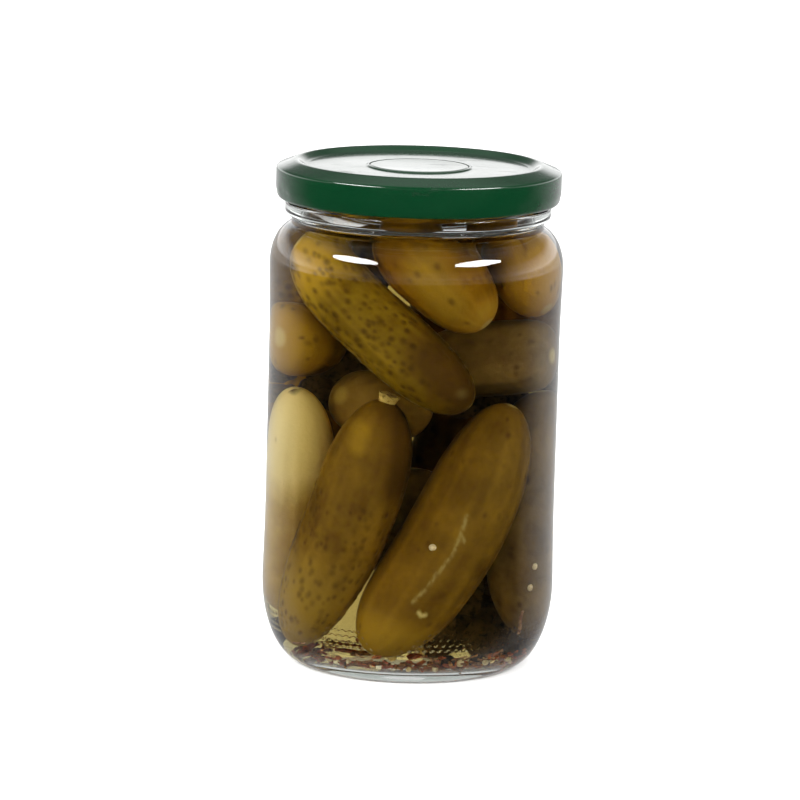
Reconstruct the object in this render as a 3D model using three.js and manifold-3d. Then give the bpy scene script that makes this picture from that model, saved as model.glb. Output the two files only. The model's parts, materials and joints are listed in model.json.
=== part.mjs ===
// A twist-off preserving jar of gherkins: a clear glass jar with a six-start thread finish, a green
// lacquered lug cap with its sealing ring and vacuum button, and the packed gherkins, spices and brine.
// Millimetres, +Z up. The origin is the centre of the foot, on the surface that the jar stands on.

import * as THREE from "three";
import { mergeVertices } from "three/addons/utils/BufferGeometryUtils.js";
import Module from "manifold-3d";

const wasm = await Module();
wasm.setup();

// ---------- driving dimensions ----------
const ROUND_STEPS = 48; // facets round the jar and the cap
const GAP = 0.3; // clearance kept between pieces that touch

// glass body
const BODY_R = 43.8; // shoulder and heel bands, the widest part
const LABEL_PANEL_R = 43.4; // the slightly sunk band between them
const HEEL_TOP_Z = 25;
const SHOULDER_Z = 120.5; // where the shoulder starts to close in
const PANEL_STEP = 2.5; // height of the step into the sunk band
const FOOT_INNER_R = 29.5;
const FOOT_OUTER_R = 31.8;
const PUNT_R = 26.5; // the pushed-up middle of the base
const PUNT_Z = 1.6;
const PUNT_MIDDLE_Z = 2.2;
const NECK_R = 37.6; // narrowest place, under the transfer bead
const SHOULDER_CENTRE_R = 35.8;
const SHOULDER_RISE = 12;

// inside of the glass
const BORE_R = 41.0;
const FLOOR_R = 29.0;
const FLOOR_Z = 4.2;
const FLOOR_MIDDLE_Z = 5.0;
const INNER_SHOULDER_Z = 119.5;
const INNER_SHOULDER_CENTRE_R = 33.2;
const INNER_SHOULDER_RISE = 10.6;
const MOUTH_R = 35.2;

// neck finish
const BEAD_R = 39.6; // transfer bead under the cap
const BEAD_LOW_Z = 135.0;
const BEAD_HIGH_Z = 139.2;
const BEAD_SLOPE = 1.0; // height of the bevels over and under the bead
const FINISH_WALL_R = 38.3;
const RIM_Z = 148.4;
const RIM_ROUND = 1.2;

// thread and lugs: one shared helix
const STARTS = 6;
const LEAD = 18; // rise of one full turn
const THREAD_R = 39.6;
const THREAD_HEIGHT = 1.1;
const THREAD_BEFORE = 8; // degrees of thread before and past each lug
const THREAD_PAST = 34;
const LUG_R = 38.9;
const LUG_HEIGHT = 1.1;
const LUG_Z = 140.65; // middle of a lug with the cap closed
const LUG_HALF_WIDTH = 7; // degrees
const FIRST_START = 20; // degrees
const THREAD_STEPS = 5;
const LUG_STEPS = 2;
const END_FADE = 0.35; // share of the height left at the ends of a thread or lug
const EMBED = 0.35; // how deep the foot of a thread or lug is sunk in its wall

// cap
const CAP_R = 42.5;
const CAP_LOW_Z = 139.7;
const CURL_R = 40.6; // outside of the rolled edge at its lowest point
const CURL_INNER_R = 40.1;
const CURL_RISE = 3.0;
const CURL_TOP_Z = 141.4; // where the rolled edge ends inside
const SKIRT_TOP_Z = 149.0;
const SKIRT_ROUND = 0.6;
const CREST_OUTER_R = 37.0;
const CREST_INNER_R = 36.0;
const CREST_Z = 151.1;
const PANEL_R = 33.6;
const PANEL_Z = 149.5;
const PANEL_ROUND = 0.3; // rise and, with the crest's slope, run of the bend at the panel's edge
const SHEET = 0.5; // tinplate and lacquer
const STEP_R = 15.6; // low ring round the vacuum button
const STEP_RISE = 0.4;
const BUTTON_HOLE_R = 14.9;
const BUTTON_R = 14.6;
const BUTTON_DISH = 0.7; // how far the middle is drawn down by the vacuum
const BUTTON_RIM_SHARE = 0.9; // share of the radius where the dish begins
const BUTTON_BEND_SHARE = 0.5; // and where it flattens out
const BUTTON_BEND_RISE = 0.18;
const BUTTON_STEPS = 36;

// sealing ring
const SEAL_INNER_R = 36.4;
const SEAL_OUTER_R = 39.9;
const SEAL_PEAK_R = 37.3;
const SEAL_LOW_Z = 148.7;
const SEAL_EDGE_Z = 148.95;
const SEAL_HIGH_Z = 150.0;

// contents
const BRINE_LEVEL_Z = 132.5;
const BRINE_GAP = 0.7; // clearance between the brine and what lies in it
const GHERKIN_SIDES = 9;
const GHERKIN_RINGS = 8;
const FACET_SWELL = 1.035; // the flat facets of a gherkin reach out this much further, to keep its volume
const GHERKIN_FULLNESS = 3.2; // how far the sides stay parallel before the ends close
const SEED_R = 1.1;
const PEPPERCORN_R = 2.2;
const FLAKE = { length: 4.4, width: 3, thickness: 0.7, corners: 6 };
const STALK_R = 0.7;
const STALK_SIDES = 6;

// ---------- materials ----------
const matter = (color, roughness, metalness = 0, extra = {}) =>
  new THREE.MeshStandardMaterial({ color, roughness, metalness, ...extra });
const clearGlass = () => matter(0xdfe8df, 0.04, 0, { transparent: true, opacity: 0.25 });
const lacquer = () => matter(0x0d4a26, 0.22, 0.1);
const sealant = () => matter(0xe9e6da, 0.6);
const liquid = () => matter(0x8a6a24, 0.05, 0, { transparent: true, opacity: 0.4 });
const skin = (color) => matter(color, 0.42);
const seedCoat = () => matter(0xd9b777, 0.5);
const pepperSkin = () => matter(0x1d1512, 0.8);
const chiliSkin = () => matter(0x8a2f14, 0.6);
const driedStalk = () => matter(0x7a4a22, 0.8);

// ---------- helpers ----------
const radians = (degrees) => (degrees * Math.PI) / 180;

// a three.js geometry as a solid that can be joined and cut
function solidOf(geometry) {
  const bare = geometry.clone();
  bare.deleteAttribute("normal");
  bare.deleteAttribute("uv");
  const merged = mergeVertices(bare, 1e-4);
  const mesh = new wasm.Mesh({
    numProp: 3,
    vertProperties: new Float32Array(merged.attributes.position.array),
    triVerts: new Uint32Array(merged.index.array),
  });
  return new wasm.Manifold(mesh);
}

// and back again
function geometryOf(solid) {
  const mesh = solid.getMesh();
  const geometry = new THREE.BufferGeometry();
  geometry.setAttribute("position", new THREE.BufferAttribute(mesh.vertProperties, 3));
  geometry.setIndex(new THREE.BufferAttribute(mesh.triVerts, 1));
  geometry.computeVertexNormals();
  return geometry;
}

function named(name, geometry, material) {
  const mesh = new THREE.Mesh(geometry, material);
  mesh.name = name;
  return mesh;
}

// turns an outline of [radius, z] points about the vertical axis
function turned(outline, steps = ROUND_STEPS) {
  const points = outline.map(([r, z]) => new THREE.Vector2(r, z));
  return new THREE.LatheGeometry(points, steps).rotateX(Math.PI / 2);
}

// points on an ellipse about (centreR, centreZ), from one angle to another in degrees
function arc(centreR, centreZ, reachR, reachZ, from, to, steps) {
  const points = [];
  for (let i = 0; i <= steps; i++) {
    const angle = radians(from + ((to - from) * i) / steps);
    points.push([centreR + reachR * Math.cos(angle), centreZ + reachZ * Math.sin(angle)]);
  }
  return points;
}

// a short ridge along the shared helix: it stands on rootR and reaches tipR, inwards or outwards,
// from one angle to another in degrees about start
function helixRidge({ rootR, tipR, z, height, start, from, to, steps }) {
  const span = to - from;
  const ridge = new THREE.BoxGeometry(span, 1, height, steps, 1, 1);
  const at = ridge.attributes.position;
  for (let i = 0; i < at.count; i++) {
    const offset = (from + to) / 2 - at.getX(i);
    const atEnd = Math.abs(at.getX(i)) === span / 2;
    const reach = (tipR - rootR) * (atEnd ? END_FADE : 1);
    const proud = at.getY(i) * (tipR - rootR) > 0;
    const r = proud ? rootR + reach : rootR;
    const angle = radians(start + offset);
    at.setXYZ(i, r * Math.cos(angle), r * Math.sin(angle), z + at.getZ(i) + (LEAD * offset) / 360);
  }
  return solidOf(ridge);
}

const startAngle = (index) => FIRST_START + (360 / STARTS) * index;

// ---------- glass jar ----------
// where the neck wall meets the shoulder ellipse
const shoulderEnd = (neckR, centreR, reachR) => (Math.acos((neckR - centreR) / reachR) * 180) / Math.PI;

function glassJar() {
  const innerReach = BORE_R - INNER_SHOULDER_CENTRE_R;
  const outerReach = BODY_R - SHOULDER_CENTRE_R;
  const innerEnd = shoulderEnd(MOUTH_R, INNER_SHOULDER_CENTRE_R, innerReach);
  const outerEnd = shoulderEnd(NECK_R, SHOULDER_CENTRE_R, outerReach);
  const outside = [
    [0, PUNT_MIDDLE_Z],
    [PUNT_R, PUNT_Z],
    [FOOT_INNER_R, 0],
    ...arc(FOOT_OUTER_R, HEEL_TOP_Z, BODY_R - FOOT_OUTER_R, HEEL_TOP_Z, -90, 0, 9),
    [LABEL_PANEL_R, HEEL_TOP_Z + PANEL_STEP],
    [LABEL_PANEL_R, SHOULDER_Z - 2 * PANEL_STEP],
    [BODY_R, SHOULDER_Z - PANEL_STEP],
    ...arc(SHOULDER_CENTRE_R, SHOULDER_Z, outerReach, SHOULDER_RISE, 0, outerEnd, 6),
    [NECK_R, BEAD_LOW_Z - BEAD_SLOPE],
    [BEAD_R, BEAD_LOW_Z + BEAD_SLOPE],
    [BEAD_R, BEAD_HIGH_Z - BEAD_SLOPE],
    [FINISH_WALL_R, BEAD_HIGH_Z],
    ...arc(FINISH_WALL_R - RIM_ROUND, RIM_Z - RIM_ROUND, RIM_ROUND, RIM_ROUND, 0, 90, 3),
  ];
  const inside = [
    ...arc(MOUTH_R + RIM_ROUND, RIM_Z - RIM_ROUND, RIM_ROUND, RIM_ROUND, 90, 180, 2),
    ...arc(
      INNER_SHOULDER_CENTRE_R, INNER_SHOULDER_Z, innerReach, INNER_SHOULDER_RISE, innerEnd, 0, 4,
    ),
    ...arc(FLOOR_R, HEEL_TOP_Z, BORE_R - FLOOR_R, HEEL_TOP_Z - FLOOR_Z, 0, -90, 6),
    [0, FLOOR_MIDDLE_Z],
  ];
  let glass = solidOf(turned([...outside, ...inside]));
  for (let i = 0; i < STARTS; i++) {
    const thread = helixRidge({
      rootR: FINISH_WALL_R - EMBED,
      tipR: THREAD_R,
      z: LUG_Z + LEAD / STARTS / 2,
      height: THREAD_HEIGHT,
      start: startAngle(i),
      from: -THREAD_BEFORE,
      to: THREAD_PAST,
      steps: THREAD_STEPS,
    });
    glass = glass.add(thread);
  }
  return named("glass_jar", geometryOf(glass), clearGlass());
}

// ---------- cap ----------
function capShell() {
  const outside = [
    ...arc(CURL_R, CAP_LOW_Z + CURL_RISE, CAP_R - CURL_R, CURL_RISE, -90, 0, 4),
    ...arc(CAP_R - SKIRT_ROUND, SKIRT_TOP_Z - SKIRT_ROUND, SKIRT_ROUND, SKIRT_ROUND, 0, 90, 2),
    [CREST_OUTER_R, CREST_Z],
    [CREST_INNER_R, CREST_Z],
    [PANEL_R + 3 * PANEL_ROUND, PANEL_Z + PANEL_ROUND],
    [PANEL_R, PANEL_Z],
    [STEP_R, PANEL_Z],
    [STEP_R - STEP_RISE, PANEL_Z + STEP_RISE],
    [BUTTON_HOLE_R, PANEL_Z + STEP_RISE],
  ];
  const inside = [
    [BUTTON_HOLE_R, PANEL_Z + STEP_RISE - SHEET],
    [STEP_R, PANEL_Z - SHEET],
    [PANEL_R, PANEL_Z - SHEET],
    [PANEL_R + 4 * PANEL_ROUND, PANEL_Z + PANEL_ROUND - SHEET],
    [CREST_INNER_R, CREST_Z - SHEET],
    [CREST_OUTER_R, CREST_Z - SHEET],
    [CAP_R - SKIRT_ROUND, SKIRT_TOP_Z - SHEET],
    [CAP_R - SHEET, SKIRT_TOP_Z - SKIRT_ROUND - SHEET / 2],
    [CAP_R - SHEET, CURL_TOP_Z + CURL_RISE / 2],
    [CURL_INNER_R, CURL_TOP_Z],
    [CURL_INNER_R, CAP_LOW_Z + SHEET / 2],
    [CURL_R, CAP_LOW_Z],
  ];
  let shell = solidOf(turned([...outside, ...inside]));
  for (let i = 0; i < STARTS; i++) {
    const lug = helixRidge({
      rootR: CURL_INNER_R + EMBED,
      tipR: LUG_R,
      z: LUG_Z,
      height: LUG_HEIGHT,
      start: startAngle(i),
      from: -LUG_HALF_WIDTH,
      to: LUG_HALF_WIDTH,
      steps: LUG_STEPS,
    });
    shell = shell.add(lug);
  }
  return named("lid_shell", geometryOf(shell), lacquer());
}

function vacuumButton() {
  const edgeZ = PANEL_Z + STEP_RISE;
  const dishZ = edgeZ - BUTTON_DISH;
  const outline = [
    [0, dishZ - SHEET],
    [BUTTON_R * BUTTON_BEND_SHARE, dishZ + BUTTON_BEND_RISE - SHEET],
    [BUTTON_R, edgeZ - SHEET],
    [BUTTON_R, edgeZ],
    [BUTTON_R * BUTTON_RIM_SHARE, edgeZ],
    [BUTTON_R * BUTTON_BEND_SHARE, dishZ + BUTTON_BEND_RISE],
    [0, dishZ],
  ];
  return named("vacuum_button", turned(outline, BUTTON_STEPS), lacquer());
}

function sealingRing() {
  const outline = [
    [SEAL_INNER_R, SEAL_LOW_Z],
    [SEAL_OUTER_R, SEAL_LOW_Z],
    [SEAL_OUTER_R, SEAL_EDGE_Z],
    [SEAL_PEAK_R, SEAL_HIGH_Z],
    [SEAL_INNER_R, SEAL_HIGH_Z],
    [SEAL_INNER_R, SEAL_LOW_Z],
  ];
  return named("lid_seal", turned(outline), sealant());
}

// ---------- gherkins ----------
// from and to are the two tips, bend is how far the middle leaves the straight line between them,
// and r is the fullest radius
const GHERKINS = [
  {
    name: "leaning_over_front", r: 10.4, color: 0x6f6a20,
    from: [15, -26.5, 82.5], to: [-32.5, -13.5, 126], bend: [0, -6.9, 0],
  },
  {
    name: "top_front", r: 10.8, color: 0x8a7420,
    from: [19.5, -26.5, 107.5], to: [-10, -18, 135], bend: [0, -3, 1],
  },
  {
    name: "top_right", r: 10.2, color: 0x7d6a20,
    from: [34, -8, 109.5], to: [16, 2, 134], bend: [1, 0, 0],
  },
  {
    name: "across_right", r: 11.5, color: 0x54431c,
    from: [38.8, -10, 95.5], to: [1, 6, 91], bend: [0, 0, 1],
  },
  {
    name: "across_left", r: 11.2, color: 0x7a6e2c,
    from: [-36.8, -10.8, 99], to: [-19, 6, 97], bend: [0, 0, 0],
  },
  {
    name: "across_middle", r: 10.2, color: 0x453c1c,
    from: [-17, -6, 82.5], to: [3, 4, 76], bend: [0, 0, 0],
  },
  {
    name: "pale_left", r: 11.4, color: 0xa8995a,
    from: [-23.5, 11.5, 14], to: [-29, -10, 84], bend: [-1, 0, 0],
  },
  {
    name: "stemmed_front_left", r: 11.8, color: 0x665820,
    from: [-30.3, -12, 8.5], to: [-6.4, -25, 84], bend: [2, -3.3, 0],
  },
  {
    name: "large_front_right", r: 13.2, color: 0x5c4c1a,
    from: [-9, -22.5, 8.5], to: [25.8, -16.8, 82.2], bend: [4, -0.2, -1],
  },
  {
    name: "right", r: 11.5, color: 0x4a3d20,
    from: [27.3, 7, 9.5], to: [27.8, 6.5, 83], bend: [0, 0, 0],
  },
  {
    name: "back_right", r: 11.6, color: 0x5a5022,
    from: [13, 25.6, 9.5], to: [10, 26.6, 79], bend: [0, 0, 0],
  },
  {
    name: "back_left", r: 11.6, color: 0x625624,
    from: [-11.5, 27, 24], to: [-16.5, 23, 86], bend: [0, 0, 0],
  },
  {
    name: "middle", r: 10.9, color: 0x4e451e,
    from: [1, 2.4, 24], to: [0, 4.2, 60], bend: [0, 0, 0],
  },
  {
    name: "top_back_left", r: 10.8, color: 0x6a5c24,
    from: [-20, 24, 90], to: [-12, 16, 136], bend: [0, 0, 0],
  },
  {
    name: "top_back_right", r: 11, color: 0x5e5220,
    from: [10, 28.5, 83], to: [10, 21, 135], bend: [0, 0, 0],
  },
];

const STEM = { r: 2.0, topR: 2.6, length: 3.4, sides: 8 }; // the stalk left on one gherkin

function gherkinGeometry(spec, grow = 0) {
  const from = new THREE.Vector3(...spec.from);
  const to = new THREE.Vector3(...spec.to);
  const along = to.clone().sub(from).normalize();
  from.addScaledVector(along, -grow);
  to.addScaledVector(along, grow);
  const pull = from.clone().add(to).multiplyScalar(0.5);
  pull.addScaledVector(new THREE.Vector3(...spec.bend), 2);
  const axis = new THREE.QuadraticBezierCurve3(from, pull, to);
  const side = new THREE.Vector3(0, 0, 1).cross(along).normalize();
  const up = along.clone().cross(side);
  const ball = new THREE.SphereGeometry(1, GHERKIN_SIDES, GHERKIN_RINGS);
  const at = ball.attributes.position;
  for (let i = 0; i < at.count; i++) {
    const share = (1 - at.getY(i)) / 2;
    const angle = Math.atan2(at.getZ(i), at.getX(i));
    const closing = Math.max(0, 1 - Math.abs(2 * share - 1) ** GHERKIN_FULLNESS);
    const r = (spec.r * FACET_SWELL + grow) * Math.sqrt(closing);
    const point = axis.getPoint(share);
    point.addScaledVector(side, r * Math.cos(angle));
    point.addScaledVector(up, r * Math.sin(angle));
    at.setXYZ(i, point.x, point.y, point.z);
  }
  return ball;
}

// the stalk stands on the upper tip, in line with the gherkin
function stemGeometry(spec, grow = 0) {
  const from = new THREE.Vector3(...spec.from);
  const to = new THREE.Vector3(...spec.to);
  const along = to.clone().sub(from).normalize();
  const stem = new THREE.CylinderGeometry(
    STEM.topR + grow, STEM.r + grow, STEM.length + grow, STEM.sides, 1,
  );
  stem.applyQuaternion(new THREE.Quaternion().setFromUnitVectors(new THREE.Vector3(0, 1, 0), along));
  const middle = to.addScaledVector(along, STEM.length / 4 + grow / 2);
  return stem.translate(middle.x, middle.y, middle.z);
}

function gherkinSolid(spec, grow = 0) {
  const body = solidOf(gherkinGeometry(spec, grow));
  return spec.name.startsWith("stemmed") ? body.add(solidOf(stemGeometry(spec, grow))) : body;
}

// ---------- spices ----------
const MUSTARD_SEEDS = [
  [6.9, -38.9, 42.5], [35.8, -17.2, 33], [34.6, -19.2, 27], [-20.8, -24.6, 6.8],
  [22, -23.5, 6.9], [15.2, -27.9, 7.0], [27.5, -16, 6.7], [3, 9, 6.2],
  [-3, -6, 6.2], [-14, 21, 5.9], [-33.4, 20.5, 40], [4, 38.9, 60],
];
const PEPPERCORNS = [
  [11.5, -26.5, 7.2], [18.5, -19, 7], [-5, 14, 7.3], [-18.5, 27.2, 9.4],
];
// flakes lie flat: centre and turn in degrees
const CHILI_FLAKES = [
  { at: [23.2, -18, 5.5], turn: 20 },
  { at: [9.5, -20, 5.3], turn: 75 },
  { at: [27.2, -10.2, 5.7], turn: 130 },
  { at: [2.5, 3, 5.7], turn: 45 },
  { at: [-11.5, 13, 5.6], turn: 160 },
  { at: [-2, 20.5, 5.4], turn: 100 },
];
// dry stalks: two ends each
const STALKS = [
  { from: [14.2, -13.5, 5.6], to: [21.5, -8.5, 5.6] },
  { from: [5.5, -13.5, 5.7], to: [12, -7.5, 5.7] },
  { from: [32.6, -21.8, 20.5], to: [31.4, -20.8, 14] },
  { from: [-11.5, 3.5, 5.8], to: [-6.5, 9.5, 5.8] },
];

const seedGeometry = (at, grow = 0) => new THREE.IcosahedronGeometry(SEED_R + grow, 0).translate(...at);

const peppercornGeometry = (at, grow = 0) =>
  new THREE.IcosahedronGeometry(PEPPERCORN_R + grow, 1).translate(...at);

function flakeGeometry({ at, turn }, grow = 0) {
  const outline = new THREE.Shape();
  const corners = [];
  for (let i = 0; i < FLAKE.corners; i++) {
    const angle = radians((360 * i) / FLAKE.corners);
    const x = (FLAKE.length / 2 + grow) * Math.cos(angle);
    const y = (FLAKE.width / 2 + grow) * Math.sin(angle);
    corners.push(new THREE.Vector2(x, y));
  }
  outline.setFromPoints(corners);
  const depth = FLAKE.thickness + 2 * grow;
  const flake = new THREE.ExtrudeGeometry(outline, { depth, bevelEnabled: false });
  return flake.translate(0, 0, -depth / 2).rotateZ(radians(turn)).translate(...at);
}

function stalkGeometry(spec, grow = 0) {
  const from = new THREE.Vector3(...spec.from);
  const to = new THREE.Vector3(...spec.to);
  const length = from.distanceTo(to) + 2 * grow;
  const along = to.clone().sub(from).normalize();
  const stalk = new THREE.CylinderGeometry(STALK_R + grow, STALK_R + grow, length, STALK_SIDES, 1);
  stalk.applyQuaternion(new THREE.Quaternion().setFromUnitVectors(new THREE.Vector3(0, 1, 0), along));
  const middle = from.add(to).multiplyScalar(0.5);
  return stalk.translate(middle.x, middle.y, middle.z);
}

// ---------- brine ----------
// what the contents leave free inside the glass, up to the fill level
function brine() {
  const reach = BORE_R - INNER_SHOULDER_CENTRE_R - GAP;
  const rise = INNER_SHOULDER_RISE - GAP;
  const end = shoulderEnd(MOUTH_R - GAP, INNER_SHOULDER_CENTRE_R, reach);
  const outline = [
    [0, FLOOR_MIDDLE_Z + GAP],
    ...arc(FLOOR_R, HEEL_TOP_Z, BORE_R - FLOOR_R - GAP, HEEL_TOP_Z - FLOOR_Z - GAP, -90, 0, 6),
    ...arc(INNER_SHOULDER_CENTRE_R, INNER_SHOULDER_Z, reach, rise, 0, end, 4),
    [MOUTH_R - GAP, BRINE_LEVEL_Z],
    [0, BRINE_LEVEL_Z],
  ];
  const space = solidOf(turned(outline));
  const contents = [
    ...GHERKINS.map((spec) => gherkinSolid(spec, BRINE_GAP)),
    ...MUSTARD_SEEDS.map((at) => solidOf(seedGeometry(at, BRINE_GAP))),
    ...PEPPERCORNS.map((at) => solidOf(peppercornGeometry(at, BRINE_GAP))),
    ...CHILI_FLAKES.map((spec) => solidOf(flakeGeometry(spec, BRINE_GAP))),
    ...STALKS.map((spec) => solidOf(stalkGeometry(spec, BRINE_GAP))),
  ];
  const left = contents.reduce((rest, piece) => rest.subtract(piece), space);
  const bodies = left.decompose().sort((a, b) => b.volume() - a.volume());
  return named("brine", geometryOf(bodies[0]), liquid());
}

// ---------- assembly ----------
const group = new THREE.Group();

// adds a numbered row of like pieces
function addRow(name, specs, geometryFor, material) {
  specs.forEach((spec, i) => {
    const number = String(i + 1).padStart(2, "0");
    group.add(named(`${name}_${number}`, geometryFor(spec), material()));
  });
}

group.add(glassJar());
group.add(capShell());
group.add(vacuumButton());
group.add(sealingRing());
for (const spec of GHERKINS) {
  group.add(named(`gherkin_${spec.name}`, geometryOf(gherkinSolid(spec)), skin(spec.color)));
}
addRow("mustard_seed", MUSTARD_SEEDS, seedGeometry, seedCoat);
addRow("peppercorn", PEPPERCORNS, peppercornGeometry, pepperSkin);
addRow("chili_flake", CHILI_FLAKES, flakeGeometry, chiliSkin);
addRow("dry_stalk", STALKS, stalkGeometry, driedStalk);
group.add(brine());

export default group;
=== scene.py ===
"""Looks for a preserving jar of gherkins with a twist-off cap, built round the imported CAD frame."""

import json
import math
import random

import bpy
import numpy as np
from mathutils import Euler, Matrix, Vector, noise


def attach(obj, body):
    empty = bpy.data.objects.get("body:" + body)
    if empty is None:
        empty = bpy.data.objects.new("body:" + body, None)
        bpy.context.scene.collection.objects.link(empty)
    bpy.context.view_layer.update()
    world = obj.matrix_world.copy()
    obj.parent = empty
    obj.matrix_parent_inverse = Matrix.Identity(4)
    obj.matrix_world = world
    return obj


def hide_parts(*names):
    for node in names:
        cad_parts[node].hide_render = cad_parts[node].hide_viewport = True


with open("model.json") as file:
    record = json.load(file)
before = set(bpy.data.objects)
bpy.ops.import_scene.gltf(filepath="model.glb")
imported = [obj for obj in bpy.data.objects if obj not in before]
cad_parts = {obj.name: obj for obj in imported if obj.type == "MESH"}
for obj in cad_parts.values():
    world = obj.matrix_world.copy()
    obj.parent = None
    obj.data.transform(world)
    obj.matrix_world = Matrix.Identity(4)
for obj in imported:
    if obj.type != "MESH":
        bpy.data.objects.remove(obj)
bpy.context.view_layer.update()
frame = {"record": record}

MM = 0.001

# ---------- camera ----------
CAMERA_PLACE = Vector((0.0, -1.500, 0.351))
CAMERA_AIM = Vector((0.0, 0.0, 0.075))
CAMERA_ROLL = math.radians(1.66)

camera = bpy.data.objects.new("camera", bpy.data.cameras.new("camera"))
bpy.context.collection.objects.link(camera)
looking = (CAMERA_AIM - CAMERA_PLACE).to_track_quat("-Z", "Y").to_matrix().to_4x4()
camera.matrix_world = (
    Matrix.Translation(CAMERA_PLACE) @ looking @ Matrix.Rotation(CAMERA_ROLL, 4, "Z")
)
camera.data.lens = 229
camera.data.sensor_width = 36
camera.data.shift_x = -0.01525
camera.data.shift_y = 0.01638
camera.data.clip_end = 20
bpy.context.scene.camera = camera


# ---------- selection and finishing ----------
def select_only(*pieces):
    bpy.ops.object.select_all(action="DESELECT")
    for piece in pieces:
        piece.select_set(True)
    bpy.context.view_layer.objects.active = pieces[0] if pieces else None


def into_edit(piece):
    select_only(piece)
    bpy.ops.object.mode_set(mode="EDIT")


def out_of_edit():
    bpy.ops.object.mode_set(mode="OBJECT")


def settle(piece):
    """Puts the piece's place into its mesh, so that its object sits at the origin."""
    select_only(piece)
    bpy.ops.object.transform_apply(location=True, rotation=True, scale=True)


def smooth(piece, degrees=40):
    select_only(piece)
    bpy.ops.object.shade_smooth_by_angle(angle=math.radians(degrees))


def dress(piece, material, body, slot, *nodes):
    """Gives a piece its material and its body, and hides the CAD nodes that it stands for; the finish given as slot is
    not used.
    """
    piece.data.materials.clear()
    piece.data.materials.append(material)
    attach(piece, body)
    if nodes:
        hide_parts(*nodes)
    return piece


def points_of(piece):
    flat = np.empty(len(piece.data.vertices) * 3)
    piece.data.vertices.foreach_get("co", flat)
    return flat.reshape(-1, 3)


def move_points(piece, points):
    piece.data.vertices.foreach_set("co", np.ascontiguousarray(points).ravel())
    piece.data.update()


# ---------- turned pieces ----------
def arc(centre_r, centre_z, reach_r, reach_z, start, end, steps):
    """Points on an ellipse, from one angle to another in degrees."""
    points = []
    for i in range(steps + 1):
        angle = math.radians(start + (end - start) * i / steps)
        points.append((centre_r + reach_r * math.cos(angle), centre_z + reach_z * math.sin(angle)))
    return points


def rounded(corners, radius, steps=4, closed=False):
    """The same outline with each inner corner rounded off, up to radius."""
    count = len(corners)
    points = []
    for i in range(count):
        if not closed and i in (0, count - 1):
            points.append(corners[i])
            continue
        here = Vector(corners[i])
        before = Vector(corners[i - 1]) - here
        after = Vector(corners[(i + 1) % count]) - here
        reach = min(radius, before.length * 0.45, after.length * 0.45)
        start = here + before.normalized() * reach
        end = here + after.normalized() * reach
        for k in range(steps + 1):
            share = k / steps
            point = start * (1 - share) ** 2 + here * 2 * share * (1 - share) + end * share**2
            points.append((point.x, point.y))
    return points


def divided(outline, longest):
    """The same outline with long stretches divided evenly."""
    points = [outline[0]]
    for a, b in zip(outline, outline[1:]):
        parts = max(1, math.ceil(math.dist(a, b) / longest))
        for k in range(1, parts + 1):
            points.append((a[0] + (b[0] - a[0]) * k / parts, a[1] + (b[1] - a[1]) * k / parts))
    return points


def turned(name, outline, steps):
    """Draws an outline of (radius, z) in mm point by point, then spins it about the vertical axis."""
    bpy.ops.object.select_all(action="DESELECT")
    bpy.ops.mesh.primitive_plane_add(size=MM)
    piece = bpy.context.object
    piece.name = name
    into_edit(piece)
    bpy.ops.mesh.select_all(action="SELECT")
    bpy.ops.mesh.merge(type="CENTER")
    r, z = outline[0]
    bpy.ops.transform.translate(value=(r * MM, 0, z * MM))
    for (r0, z0), (r1, z1) in zip(outline, outline[1:]):
        bpy.ops.mesh.extrude_region_move(
            TRANSFORM_OT_translate={"value": ((r1 - r0) * MM, 0, (z1 - z0) * MM)}
        )
    bpy.ops.mesh.select_all(action="SELECT")
    bpy.ops.mesh.spin(steps=steps, angle=2 * math.pi, center=(0, 0, 0), axis=(0, 0, 1))
    bpy.ops.mesh.select_all(action="SELECT")
    bpy.ops.mesh.remove_doubles(threshold=1e-6)
    bpy.ops.mesh.normals_make_consistent(inside=False)
    out_of_edit()
    settle(piece)
    return piece


# ---------- material nodes ----------
def paint(red, green, blue, alpha=1.0):
    """A colour named by its eight-bit screen values."""
    def linear(value):
        share = value / 255
        return share / 12.92 if share <= 0.04045 else ((share + 0.055) / 1.055) ** 2.4
    return (linear(red), linear(green), linear(blue), alpha)


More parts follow.
